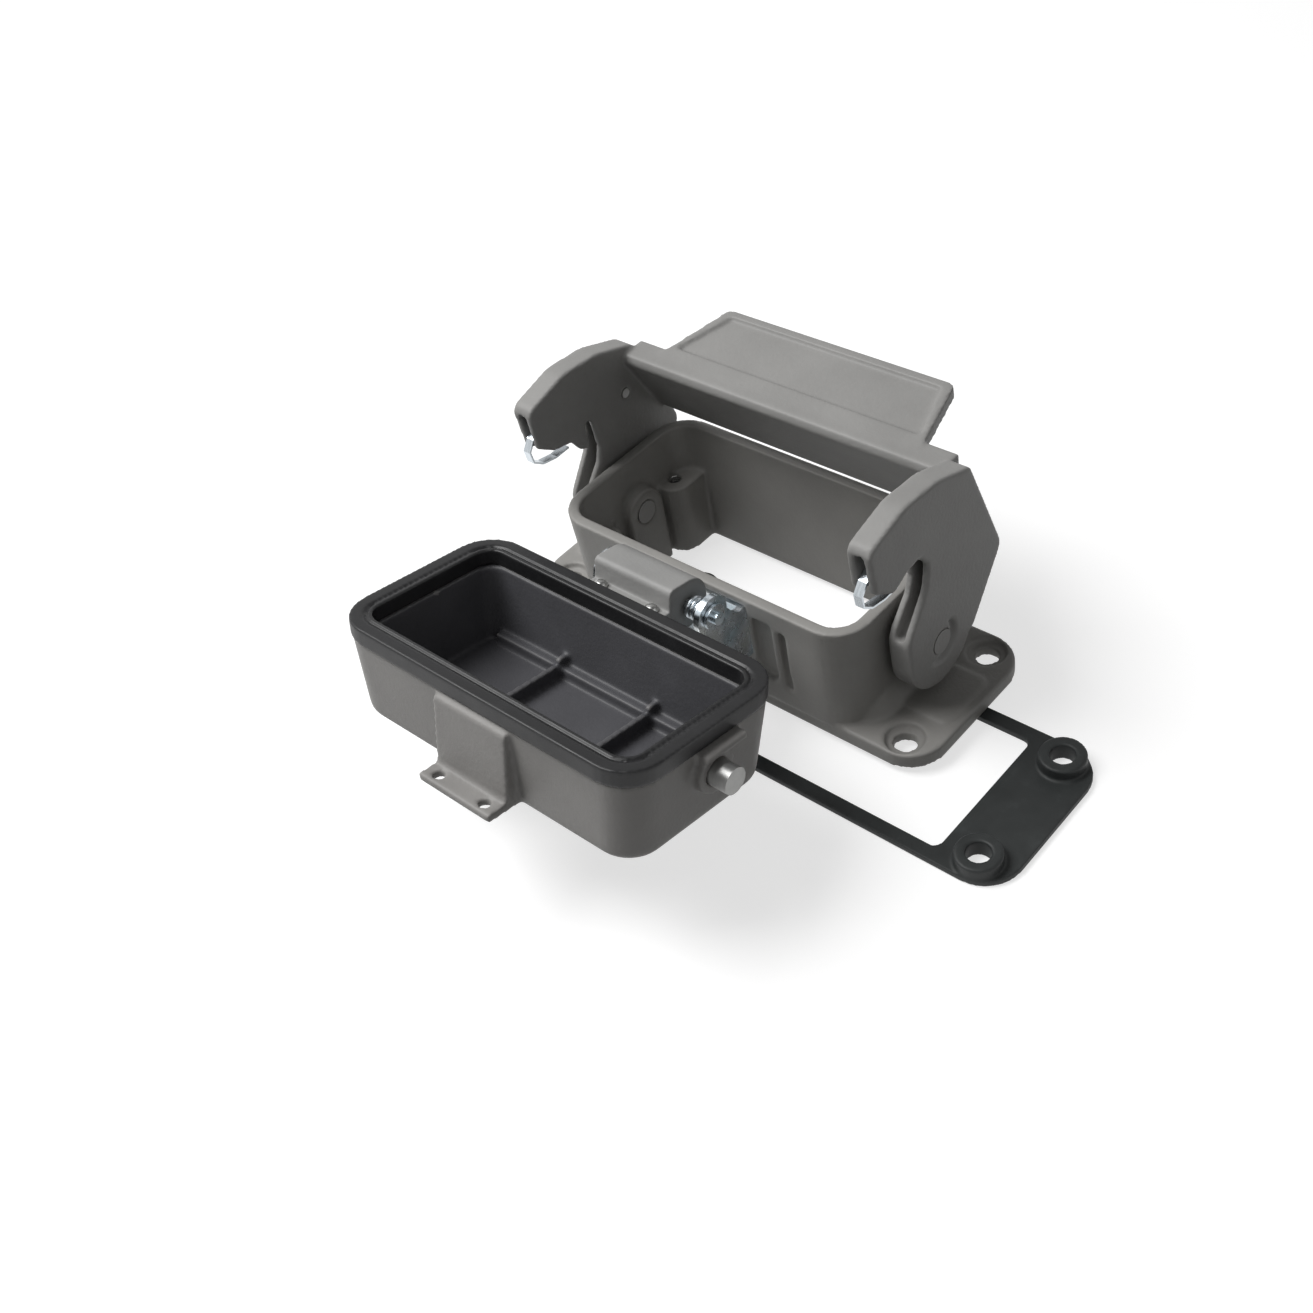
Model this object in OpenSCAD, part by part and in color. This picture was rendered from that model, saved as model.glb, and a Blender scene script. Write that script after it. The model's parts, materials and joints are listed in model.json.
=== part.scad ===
// Panel mount housing of a rectangular multi-pole connector.
// A die-cast housing with one swing lever, a hinged protective cover and a loose flange gasket.
// Frame: origin at the centre of the mounting face, X along the flange, Y towards the lever, Z up.

/* [Flange] */
// Length of the mounting flange
flange_len = 119; // [116:0.5:124]
// Width of the mounting flange
flange_w = 43; // [42:0.5:46]
// Thickness of the mounting flange
flange_t = 4; // [3:0.25:5]
// Corner radius of the flange
flange_r = 9; // [6:0.5:10]
// Distance between the mounting holes along the flange
hole_dx = 103; // [102:0.5:104]
// Distance between the mounting holes across the flange
hole_dy = 32; // [30:0.5:32]
// Diameter of the mounting holes
hole_d = 5.4; // [4.2:0.1:6]

/* [Housing walls] */
// Length of the rim over its outer faces
rim_len = 86.5; // [86:0.5:89]
// Width of the rim over its outer faces
rim_w = 46; // [45:0.5:48]
// Height of the rim above the mounting face
rim_h = 33; // [31:0.5:36]
// Thickness of the walls
wall_t = 2.8; // [2.4:0.1:3.2]
// How far each wall leans in from rim to flange
wall_lean = 1; // [0.5:0.1:1.5]
// Outer corner radius of the walls
wall_r = 9; // [7:0.5:10]
// Length of the opening through the mounting face
opening_len = 78; // [76:0.5:79]
// Width of the opening through the mounting face
opening_w = 38; // [36:0.5:39]
// Height of the screw bosses for the contact insert
boss_h = 20; // [16:0.5:24]
// Radius of the screw bosses
boss_r = 5; // [4.4:0.1:5.2]
// Distance between the insert screws along the housing
insert_dx = 77.5; // [76:0.5:78]
// Distance between the insert screws across the housing
insert_dy = 27; // [26:0.5:28]
// Diameter of the insert screw holes
insert_hole_d = 3.3; // [2.8:0.1:4]

/* [Lever] */
// Height of the lever pivot above the mounting face
pivot_z = 18.5; // [17.5:0.25:20]
// Distance of the lever pivot from the middle
pivot_y = 1; // [0:0.25:2]
// Diameter of the pivot pins
pivot_d = 6; // [5:0.25:7]
// Gap between the end walls and the cheeks
cheek_gap = 1.3; // [1.2:0.1:2]
// Thickness of each cheek
cheek_t = 5.8; // [5:0.2:7]
// Thickness of the skins of the hollow cheeks
skin_t = 1.7; // [1.4:0.1:2]
// Width of the band that closes the cheeks along their back
band_w = 2.4; // [2:0.1:3]
// Thickness of the cross wall
cross_t = 2.6; // [2:0.1:3.2]
// Length of the handle plate at its foot
handle_foot = 75; // [70:1:78]
// Length of the handle plate at its edge
handle_edge = 64; // [60:1:68]
// Reach of the handle plate
handle_reach = 22; // [20:0.5:26]
// Thickness of the handle plate
handle_t = 3.2; // [2.6:0.1:4]
// Tilt of the handle plate above level
handle_tilt = 5; // [0:1:15]

/* [Cover] */
// Depth of the cover below its sealing face
cover_depth = 24.5; // [22:0.5:28]
// How far the seal stands out past the cover's walls
seal_over = 0.5; // [0.3:0.1:0.8]
// Width of the sealing ring
seal_w = 5; // [4.4:0.1:5.4]
// Height of the sealing ring
seal_h = 4; // [3:0.25:4.5]
// Height of the ribs on the cover's floor
rib_h = 3.6; // [2:0.2:5]
// Distance between the two cross ribs
rib_dx = 27; // [20:1:36]
// Diameter of the locking pegs
peg_d = 6; // [5:0.25:6.5]
// Reach of the locking pegs past the cover's end walls
peg_reach = 6.5; // [5:0.25:7]
// Height of the peg axis below the sealing face
peg_drop = 10; // [9.5:0.25:10.5]
// Tilt of the open cover, front side up
cover_tilt = 12; // [8:1:16]

/* [Hinge] */
// Distance of the hinge pin from the rim's front face
hinge_out = 9.5; // [9:0.25:11]
// Height of the hinge pin above the rim
hinge_up = 2.8; // [2.4:0.1:3.4]
// Diameter of the hinge pin
pin_d = 3; // [2.5:0.1:3.4]
// Thickness of the bracket's sheet
sheet_t = 1.5; // [1.2:0.1:1.8]
// Width of the bracket over its ears
bracket_w = 31; // [29:0.5:34]
// Radius of the bracket's ears round the pin
ear_r = 4.6; // [4.2:0.1:5]
// Radius of the knuckle round the pin
knuckle_r = 6; // [5.4:0.1:6.2]
// Wire diameter of the hinge spring
wire_d = 1; // [0.8:0.1:1.2]
// Turns of the hinge spring
coil_turns = 3; // [2:1:4]

/* [Gasket] */
// Thickness of the flange gasket
gasket_t = 1.6; // [1.2:0.1:2]
// Length of the gasket's window
window_len = 85; // [80:1:90]
// Width of the gasket's window
window_w = 36; // [34:0.5:38]
// Height of the grommets at the gasket's holes
grommet_h = 4.6; // [3:0.2:5]
// How far the loose gasket lies along the housing from its seat
gasket_x = 30; // [25:1:32]
// How far the loose gasket lies in front of its seat
gasket_y = 17; // [14:0.5:19]

/* [Hidden] */
$fn = 48;

// Running clearance of the pins in their bores
run = 0.05;
// Overlap that makes cuts run clean through
eps = 0.2;

// Outline helpers: a corner is [x, y, radius]
function unit(v) = v / norm(v);
function turn(a) = a > 180 ? a - 360 : a < -180 ? a + 360 : a;
function corner(before, at, after, r, n) =
    let (
        u = unit(before - at),
        v = unit(after - at),
        half = acos(u * v) / 2,
        centre = at + unit(u + v) * r / sin(half),
        start = at + u * r / tan(half) - centre,
        end = at + v * r / tan(half) - centre,
        a0 = atan2(start.y, start.x),
        sweep = turn(atan2(end.y, end.x) - a0)
    )
    r <= 0 ? [at] : [for (i = [0:n]) centre + r * [cos(a0 + sweep * i / n), sin(a0 + sweep * i / n)]];
function xy(p) = [p.x, p.y];
function rounded(pts, n = 6) = [
    for (i = [0:len(pts) - 1])
        let (m = len(pts))
        each corner(xy(pts[(i + m - 1) % m]), xy(pts[i]), xy(pts[(i + 1) % m]), pts[i].z, n)
];
function box_outline(l, w, r) = [[l / 2, w / 2, r], [-l / 2, w / 2, r], [-l / 2, -w / 2, r], [l / 2, -w / 2, r]];

// A flat plate with rounded corners, its underside at height z
module plate(l, w, r, t, z = 0) {
    translate([0, 0, z])
        linear_extrude(t)
            polygon(rounded(box_outline(l, w, r), 8));
}

// A block whose rounded outline changes evenly from its foot to its top
module tapered(foot, top, z0, z1) {
    hull() {
        plate(foot.x, foot.y, foot.z, 0.01, z0);
        plate(top.x, top.y, top.z, 0.01, z1 - 0.01);
    }
}

// A cylinder along X that starts at x0
module rod(x0, y, z, d, l) {
    translate([x0, y, z])
        rotate([0, 90, 0])
            cylinder(h = l, d = d);
}

// A plate in the YZ plane, extruded along X from x0
module side_plate(pts, x0, t, n = 6) {
    translate([x0, 0, 0])
        rotate([90, 0, 90])
            linear_extrude(t)
                polygon(rounded(pts, n));
}

// Places something at each of the four points of a rectangular pattern
module four(dx, dy) {
    for (sx = [-1, 1], sy = [-1, 1])
        translate([sx * dx / 2, sy * dy / 2, 0])
            children();
}

// ---- Housing ----
foot_len = rim_len - 2 * wall_lean;
foot_w = rim_w - 2 * wall_lean;
pad_h = 0.6;
pad_w = 16;
end_x = rim_len / 2;
pocket_d = 1.1;
bolt_face = 1.4;
hinge_y = rim_w / 2 + hinge_out;
pin_y = -hinge_y;
pin_z = rim_h + hinge_up;
web_back = foot_w / 2 + 0.1;
web_y = -web_back - sheet_t;
web_low = pin_z - 19.5;
web_high = pin_z - 5;
rivet_d = 3.2;
rivet_dx = 12;
rivet_z = (web_low + web_high) / 2;
washer_t = 0.9;
washer_d = 14;
boss_out = cheek_gap - washer_t - 2 * run;

module housing_outside() {
    plate(flange_len, flange_w, flange_r, flange_t);
    tapered([foot_len, foot_w, wall_r], [rim_len, rim_w, wall_r], flange_t - eps, rim_h);
    // Foot that flares from the end walls on to the flange
    tapered([foot_len + 7, foot_w - 6, wall_r], [foot_len + 0.4, foot_w - 4, wall_r], flange_t - eps, flange_t + 5);
    // Raised pads at the middle of both flange ends
    plate(flange_len - 5, pad_w, 2, pad_h + eps, flange_t - eps);
    // Round faces that carry the lever washers
    for (s = [-1, 1])
        rod(s > 0 ? end_x - 2 : -end_x - boss_out, pivot_y, pivot_z, washer_d, 2 + boss_out);
}

module hinge_pockets() {
    // Flat seat for the bracket
    translate([-bracket_w / 2 - 0.3, -rim_w, web_low - 0.3])
        cube([bracket_w + 0.6, rim_w - web_back, web_high - web_low + 0.6]);
    // Pockets and narrow grooves beside the seat
    for (s = [-1, 1]) {
        slot_pocket(s * (bracket_w / 2 + 3.8), 5.4, 10, rim_h - 5);
        slot_pocket(s * (bracket_w / 2 + 9.4), 2, 9, rim_h - 6);
    }
}

module slot_pocket(x, w, z0, z1) {
    translate([x, -foot_w / 2 + pocket_d, 0])
        rotate([90, 0, 0])
            linear_extrude(rim_w)
                polygon(rounded([[-w / 2, z0, w * 0.45], [w / 2, z0, w * 0.45], [w / 2, z1, 0.5], [-w / 2, z1, 0.5]]));
}

module housing_cavity() {
    tapered(
        [opening_len, opening_w, wall_r - wall_t - 1],
        [rim_len - 2 * wall_t, rim_w - 2 * wall_t, wall_r - wall_t],
        -eps, rim_h + eps);
}

module housing_inside() {
    // Columns for the insert screws, tied to the walls of their corner
    four(insert_dx, insert_dy) {
        cylinder(h = boss_h, r = boss_r);
    }
    for (sx = [-1, 1], sy = [-1, 1]) {
        translate([sx * (insert_dx / 2 + 2) - 2.5, sy * insert_dy / 2 - boss_r, 0])
            cube([5, 2 * boss_r, boss_h]);
        translate([sx * insert_dx / 2 - boss_r, sy * (insert_dy / 2 + 3.5) - 3.5, 0])
            cube([2 * boss_r, 7, boss_h]);
    }
    // Rounded columns behind the lever pivots
    for (s = [-1, 1]) {
        rod(s > 0 ? end_x - 6 : -end_x + wall_lean, pivot_y, pivot_z, 12, 5);
        translate([s > 0 ? end_x - 6 : -end_x + wall_lean, pivot_y - 6, 0])
            cube([5, 12, pivot_z]);
    }
}

module housing() {
    color([0.55, 0.55, 0.54])
        difference() {
            union() {
                difference() {
                    housing_outside();
                    housing_cavity();
                }
                intersection() {
                    housing_inside();
                    plate(foot_len, foot_w, wall_r, rim_h);
                }
            }
            hinge_pockets();
            four(hole_dx, hole_dy) {
                translate([0, 0, -eps])
                    cylinder(h = flange_t + 2 * eps, d = hole_d);
                translate([0, 0, flange_t - bolt_face])
                    cylinder(h = pad_h + 2, d = hole_d + 3.6);
            }
            four(insert_dx, insert_dy)
                translate([0, 0, boss_h - 12])
                    cylinder(h = 13, d = insert_hole_d);
            for (s = [-1, 1])
                rod(s > 0 ? end_x - 8 : -end_x - 4, pivot_y, pivot_z, pivot_d + 2 * run, 12);
            for (s = [-1, 1])
                translate([s * rivet_dx / 2, 0, rivet_z])
                    rotate([90, 0, 0])
                        cylinder(h = rim_w, d = rivet_d + 2 * run);
        }
}

// ---- Flange gasket, lying loose on the floor ----
module flange_gasket() {
    grommet_d = hole_d + 5;
    color([0.16, 0.17, 0.17])
        translate([gasket_x, -gasket_y, -gasket_t])
            difference() {
                union() {
                    plate(flange_len, flange_w, flange_r, gasket_t);
                    four(hole_dx, hole_dy)
                        cylinder(h = grommet_h, d = grommet_d);
                }
                plate(window_len, window_w, 2, gasket_t + 2 * eps, -eps);
                four(hole_dx, hole_dy)
                    translate([0, 0, -eps])
                        cylinder(h = grommet_h + 2 * eps, d = hole_d);
            }
}

// ---- Lever ----
cheek_in = end_x + cheek_gap;
cheek_out = cheek_in + cheek_t;
lever_boss_r = 11.4;
back_top = [13.6, 58];
back_low = [24.5, 30];

// Outline of a cheek in the YZ plane, from the hook over the top and down to the pivot
cheek_pts = [
    [-21.6, 60, 2.5], [-9, 63.2, 9], [2, 62.2, 10], [back_top.x, back_top.y, 2.4], [back_low.x, back_low.y, 4],
    [pivot_y + 11.6, pivot_z - 5, 4], [pivot_y + 1, pivot_z - 6, 0],
    [pivot_y - lever_boss_r + 0.1, pivot_z - 1, 0], [-11, 27, 6]
];

// Mouth of the hook in the outer skin, from the arm to the tip
outer_mouth = [
    [-3.6, 37, 6], [-2.4, 43.4, 2.5], [-5.2, 47, 1.6], [-9.2, 46.8, 1.5], [-14.4, 44.4, 2], [-20.4, 48.6, 1.2]
];

// Mouth of the hook in the inner skin, with a slot and a nub that keeps the cover's peg
inner_mouth = [
    [-4.2, 34.6, 3], [-2.9, 38.5, 2], [-3.6, 46, 0.8], [-5.2, 47.6, 0.6], [-5.9, 46.6, 0.5], [-5.9, 40.2, 0.6],
    [-8.6, 41.2, 0.8], [-11, 45, 2], [-16.5, 46.2, 3], [-21, 49.5, 1.2]
];

// Hollow of a cheek: it leaves the band along the top and back, and the pivot boss
hollow_pts = [
    [-24, 60 - band_w, 0], [-9.3, 63.2 - band_w, 8], [1.6, 62.2 - band_w, 9],
    [back_top.x - band_w, back_top.y - band_w, 2], [back_low.x - band_w - 0.6, back_low.y + 0.4, 3],
    [pivot_y + 12, pivot_z + 5, 2], [pivot_y - 13, pivot_z + 8, 0], [-24, 40, 0]
];

// Right cheek: an inner skin, an outer skin and the band between them
module cheek() {
    side_plate(concat(cheek_pts, inner_mouth), cheek_in, skin_t);
    side_plate(concat(cheek_pts, outer_mouth), cheek_out - skin_t, skin_t);
    difference() {
        side_plate(concat(cheek_pts, outer_mouth), cheek_in + skin_t / 2, cheek_t - skin_t);
        side_plate(hollow_pts, cheek_in + skin_t / 2 - 1, cheek_t - skin_t + 2);
    }
    rod(cheek_in, pivot_y, pivot_z, 2 * lever_boss_r, cheek_t);
}

// Section of the cross wall: a thick band on top, and a foot that stays above the rim as the lever swings
cross_low = back_low + (back_top - back_low) * 0.23;
band_z = back_top.y - 0.9;
band_back = back_top.x + 3.6;
cross_pts = [
    [band_back, band_z, 0.8], [band_back, band_z - 3, 0.8], [back_top.x + 1.8, band_z - 4, 1],
    [cross_low.x - 0.1, cross_low.y, 0.6], [cross_low.x - cross_t, cross_low.y + 0.4, 0.6],
    [back_top.x - cross_t - 1.2, band_z - 2, 1], [back_top.x - cross_t - 0.6, band_z, 0.8]
];

module handle_plate() {
    rim = 2.2;
    deep = 0.9;
    foot = handle_foot / 2;
    edge = handle_edge / 2;
    translate([0, back_top.x - 0.4, band_z])
        rotate([handle_tilt, 0, 0])
            translate([0, 0, -handle_t])
                difference() {
                    linear_extrude(handle_t)
                        polygon(rounded([[-foot, 0, 0], [foot, 0, 0], [edge, handle_reach, 2], [-edge, handle_reach, 2]]));
                    translate([0, 0, handle_t - deep])
                        linear_extrude(deep + eps)
                            polygon(rounded([[-foot + rim + 0.6, 4.8, 0.8], [foot - rim - 0.6, 4.8, 0.8],
                                [edge - rim, handle_reach - rim, 1], [-edge + rim, handle_reach - rim, 1]]));
                }
}

// Curved relief beside the pivot pin in the outer skin
module eye_relief() {
    translate([cheek_out - 1.1, pivot_y, pivot_z])
        rotate([0, 90, 0])
            difference() {
                cylinder(h = 2, r = pivot_d / 2 + 2.2);
                translate([-1.1, -1.3, -eps])
                    cylinder(h = 3, r = pivot_d / 2 + 1.6);
            }
}

// Bores of the right cheek: through for the pivot, and not through the outer skin for the spring pin
module cheek_holes() {
    rod(cheek_in - 1, pivot_y, pivot_z, pivot_d + 2 * run, cheek_t + 2);
    rod(cheek_in - 1, spring_pin.x, spring_pin.y, spring_pin_d + 2 * run, cheek_t + 1 - skin_t / 2);
    eye_relief();
}

module lever() {
    color([0.56, 0.56, 0.55])
        difference() {
            union() {
                cheek();
                mirror([1, 0, 0])
                    cheek();
                side_plate(cross_pts, -cheek_in - 0.5, 2 * cheek_in + 1);
                handle_plate();
            }
            cheek_holes();
            mirror([1, 0, 0])
                cheek_holes();
        }
}

module pivot(s) {
    l = cheek_out - end_x + 6 - 0.1;
    color([0.62, 0.62, 0.6])
        rod(s > 0 ? end_x - 6 : -cheek_out + 0.1, pivot_y, pivot_z, pivot_d, l);
}

module lever_pivot_left() {
    pivot(-1);
}

module lever_pivot_right() {
    pivot(1);
}

module washer(s) {
    x0 = end_x + boss_out + run;
    color([0.8, 0.8, 0.78])
        difference() {
            rod(s > 0 ? x0 : -x0 - washer_t, pivot_y, pivot_z, washer_d, washer_t);
            rod(s > 0 ? x0 - 1 : -x0 - washer_t - 1, pivot_y, pivot_z, pivot_d + 2 * run, washer_t + 2);
        }
}

module pivot_washer_left() {
    washer(-1);
}

module pivot_washer_right() {
    washer(1);
}

// Leaf spring in the hollow of a cheek: it rests on its pin, leaves the hook's tip and curls back under it
spring_pin = [8.5, 47];
spring_pin_d = 2.4;
leaf_t = 0.5;
leaf_w = cheek_t - 2 * skin_t - 0.3;

// A strip of even thickness along a path: its outline, up one side and back down the other
function across(p, i) =
    let (d = unit(p[min(i + 1, len(p) - 1)] - p[max(i - 1, 0)]))
    [-d.y, d.x];
function strip(p, t) = concat(
    [for (i = [0:len(p) - 1]) p[i] + across(p, i) * t / 2],
    [for (i = [len(p) - 1:-1:0]) p[i] - across(p, i) * t / 2]
);
leaf_path = [
    [spring_pin.x + 6, spring_pin.y - 3.4],
    [spring_pin.x + 0.6, spring_pin.y + (spring_pin_d + leaf_t) / 2 + 0.1],
    [-2, 55], [-8, 56.2], [-14, 54.8], [-20.6, 51.2], [-22.4, 48.8], [-22, 45.8], [-19.4, 43.8], [-15.3, 42.9],
    [-11, 43]
];

module leaf(s) {
    x0 = cheek_in + skin_t + 0.15;
    color([0.75, 0.76, 0.78])
        translate([s > 0 ? x0 : -x0 - leaf_w, 0, 0])
            rotate([90, 0, 90])
                linear_extrude(leaf_w)
                    polygon(strip(leaf_path, leaf_t));
}

module lever_spring_left() {
    leaf(-1);
}

module lever_spring_right() {
    leaf(1);
}

module spring_pin_piece(s) {
    l = cheek_t - skin_t / 2 - 0.2;
    color([0.7, 0.71, 0.73])
        rod(s > 0 ? cheek_in + 0.1 : -cheek_in - 0.1 - l, spring_pin.x, spring_pin.y, spring_pin_d, l);
}

module lever_spring_pin_left() {
    spring_pin_piece(-1);
}

module lever_spring_pin_right() {
    spring_pin_piece(1);
}

// ---- Cover, drawn level with its sealing face at z = 0 and its hinge towards +Y ----
seal_len = rim_len;
seal_wid = rim_w;
in_len = seal_len - 2 * seal_w;
in_wid = seal_wid - 2 * seal_w;
out_len = seal_len - 2 * seal_over;
out_wid = seal_wid - 2 * seal_over;
floor_t = 2.2;
cover_lean = 1.2;
cover_r = 8;
edge_r = 3;

module in_cover_frame() {
    translate([0, pin_y, pin_z])
        rotate([-cover_tilt, 0, 0])
            translate([0, -hinge_y, hinge_up])
                children();
}

module cover_shell_outside() {
    hull() {
        plate(out_len, out_wid, cover_r, 0.01, -seal_h - 0.01);
        for (a = [0:22.5:90])
            let (in = 2 * cover_lean + 2 * edge_r * (1 - cos(a)))
            plate(out_len - in, out_wid - in, cover_r - edge_r * (1 - cos(a)), 0.01,
                -cover_depth + edge_r * (1 - sin(a)));
    }
}

module cover_shell() {
    difference() {
        union() {
            cover_shell_outside();
            rear_ledge();
            front_tab();
            for (s = [-1, 1])
                end_lug(s);
        }
        tapered(
            [in_len - 2 * cover_lean - 1, in_wid - 2 * cover_lean - 1, 4],
            [in_len, in_wid, 4.6],
            -cover_depth + floor_t, 1);
    }
}

module cover_ribs() {
    rib_t = 1.4;
    rib_l = in_wid - 2 * cover_lean;
    z0 = -cover_depth + floor_t - eps;
    for (x = [-rib_dx / 2, rib_dx / 2]) {
        translate([x - rib_t / 2, -rib_l / 2, z0])
            cube([rib_t, rib_l, rib_h + eps]);
        // Small upstands where the ribs cross
        translate([x - rib_t / 2, rear_rib_y - 1, z0])
            cube([rib_t, 2.4, rib_h + 1.4 + eps]);
    }
    translate([-in_len / 2 + 4, rear_rib_y - rib_t / 2, z0])
        cube([in_len - 8, rib_t, rib_h - 1 + eps]);
}
rear_rib_y = in_wid / 2 - 3.4;

// Ledge behind the seal that carries the hinge block
ledge_y = out_wid / 2 - 1;
ledge_top = -seal_h;
ledge_out = hinge_y - knuckle_r - 0.6;
block_x0 = -bracket_w / 2 + sheet_t + 0.4;
block_x1 = bracket_w / 2 - sheet_t - (coil_turns + 1) * wire_d - 1.3;

module rear_ledge() {
    side_plate([
        [ledge_y, ledge_top, 0], [ledge_out, ledge_top, 0.5], [ledge_out, ledge_top - 2.6, 1],
        [ledge_y, ledge_top - 9, 0]], block_x0, block_x1 - block_x0);
}

// Tab with two holes along the cover's free side
tab_l = 21;
tab_y = -out_wid / 2;
tab_out = 7.4;

module front_tab() {
    drop = cover_depth - 1;
    difference() {
        union() {
            side_plate([
                [tab_y + 3, -seal_h - 1, 0], [tab_y - 1.4, -seal_h - 1, 0.6], [tab_y - 2.2, -drop + 2, 0.8],
                [tab_y - tab_out, -drop + 2, 0.6], [tab_y - tab_out, -drop, 0.6], [tab_y + 3, -drop, 0]],
                -tab_l / 2, tab_l);
        }
        for (s = [-1, 1])
            translate([s * (tab_l / 2 - 3.6), tab_y - 4.8, -drop - 1])
                cylinder(h = 5, d = 2.6);
    }
}

// Lug over each locking peg
module end_lug(s) {
    x0 = out_len / 2 - 2;
    translate([s > 0 ? x0 : -x0 - 5, -4, -seal_h - 2])
        cube([5, 12, 1.8]);
    rod(s > 0 ? x0 : -x0 - 4, 0, -peg_drop, peg_d + 4, 4);
}

module cover() {
    color([0.38, 0.38, 0.39])
        in_cover_frame()
            difference() {
                union() {
                    cover_shell();
                    cover_ribs();
                }
                for (s = [-1, 1])
                    rod(s > 0 ? out_len / 2 - 3.4 : -out_len / 2 - 6.6, 0, -peg_drop, peg_d + 2 * run, 10);
                block_rivet_places()
                    translate([0, 0, -12])
                        cylinder(h = 20, d = block_rivet_d + 2 * run);
            }
}

module cover_seal() {
    color([0.08, 0.08, 0.09])
        in_cover_frame()
            difference() {
                plate(seal_len, seal_wid, wall_r, seal_h, -seal_h);
                plate(in_len, in_wid, wall_r - seal_w, seal_h + 2 * eps, -seal_h - eps);
                // Groove that leaves two lips round the ring
                difference() {
                    plate(seal_len - 6.2, seal_wid - 6.2, wall_r - 3.1, 1, -0.6);
                    plate(seal_len - 7.8, seal_wid - 7.8, wall_r - 3.9, 3, -1.6);
                }
            }
}

module peg(s) {
    x0 = out_len / 2 - 3;
    color([0.72, 0.72, 0.7])
        in_cover_frame()
            rod(s > 0 ? x0 : -x0 - peg_reach - 3, 0, -peg_drop, peg_d, peg_reach + 3);
}

module cover_peg_left() {
    peg(-1);
}

module cover_peg_right() {
    peg(1);
}

// ---- Hinge ----
block_rivet_d = 2;
block_rivet_dx = 15;
rivet_y = (out_wid / 2 + ledge_out) / 2 + 0.4;

module block_rivet_places() {
    for (s = [-1, 1])
        translate([(block_x0 + block_x1) / 2 + s * block_rivet_dx / 2, rivet_y, 0])
            children();
}

module hinge_block() {
    foot_t = 2;
    y0 = seal_wid / 2 + 0.3;
    face_y = hinge_y - knuckle_r;
    color([0.5, 0.5, 0.5])
        in_cover_frame()
            difference() {
                union() {
                    side_plate([
                        [y0, ledge_top, 0], [y0, ledge_top + foot_t, 0.4], [face_y, ledge_top + foot_t, 0.3],
                        [face_y, -hinge_up + knuckle_r, 1.4], [hinge_y, -hinge_up + knuckle_r, 0],
                        [hinge_y, ledge_top, 0]], block_x0, block_x1 - block_x0);
                    rod(block_x0, hinge_y, -hinge_up, 2 * knuckle_r, block_x1 - block_x0);
                }
                rod(block_x0 - 1, hinge_y, -hinge_up, pin_d + 2 * run, block_x1 - block_x0 + 2);
                block_rivet_places()
                    translate([0, 0, -12])
                        cylinder(h = 12 + ledge_top + foot_t + eps, d = block_rivet_d + 2 * run);
            }
}

module block_rivets() {
    color([0.78, 0.78, 0.77])
        in_cover_frame()
            block_rivet_places() {
                translate([0, 0, ledge_top - 3.6])
                    cylinder(h = 6, d = block_rivet_d);
                translate([0, 0, ledge_top + 2])
                    cylinder(h = 1.4, d = 3.2);
            }
}

// Bracket ears and the web between them
ear_pts = [
    [pin_y - 2.8, pin_z - 9, 4], [pin_y + 0.6, pin_z - 16, 4], [pin_y + 4.4, pin_z - 19.5, 2],
    [web_y + sheet_t, pin_z - 19.5, 0.3], [web_y + sheet_t, pin_z - 5, 0.3], [pin_y + 7, pin_z - 5, 2],
    [pin_y + 4.4, pin_z - 1, 1.5], [pin_y, pin_z, 0], [pin_y - ear_r + 0.1, pin_z - 1, 0]
];

module ear(x0) {
    difference() {
        union() {
            side_plate(ear_pts, x0, sheet_t);
            rod(x0, pin_y, pin_z, 2 * ear_r, sheet_t);
        }
        rod(x0 - 1, pin_y, pin_z, pin_d + 2 * run, sheet_t + 2);
    }
}

module hinge_bracket() {
    color([0.8, 0.83, 0.86])
        difference() {
            union() {
                ear(-bracket_w / 2);
                ear(bracket_w / 2 - sheet_t);
                translate([-bracket_w / 2, web_y, web_low])
                    cube([bracket_w, sheet_t, web_high - web_low]);
            }
            for (s = [-1, 1])
                translate([s * rivet_dx / 2, 0, rivet_z])
                    rotate([90, 0, 0])
                        cylinder(h = rim_w, d = rivet_d + 2 * run);
        }
}

module bracket_rivets() {
    inner_y = -rim_w / 2 + wall_t;
    color([0.75, 0.76, 0.78])
        for (s = [-1, 1])
            translate([s * rivet_dx / 2, 0, rivet_z])
                rotate([90, 0, 0]) {
                    translate([0, 0, -inner_y - 0.9])
                        cylinder(h = -web_y + inner_y + 0.9 + 0.5, d = rivet_d);
                    translate([0, 0, -web_y])
                        cylinder(h = 1.2, d = 5.4);
                }
}

module hinge_pin() {
    color([0.82, 0.84, 0.86]) {
        rod(-bracket_w / 2 - 0.1, pin_y, pin_z, pin_d, bracket_w + 2.1);
        rod(-bracket_w / 2 - 1.1, pin_y, pin_z, pin_d + 2, 1);
    }
}

module hinge_pin_clip() {
    color([0.6, 0.62, 0.65])
        difference() {
            rod(bracket_w / 2 + 0.1, pin_y, pin_z, pin_d + 3, 0.8);
            rod(bracket_w / 2 - 1, pin_y, pin_z, pin_d, 3);
            translate([bracket_w / 2, pin_y - 0.7, pin_z - 6])
                cube([2, 1.4, 5]);
        }
}

// Torsion spring: a coil round the pin with one leg on the web and one under the ledge
coil_r = pin_d / 2 + 0.25 + wire_d / 2;
coil_x = block_x1 + 0.4 + wire_d / 2;
coil_sides = 8;
coil_steps = 14;
coil_pitch = wire_d + 0.08;
leg_a0 = -20;

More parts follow.
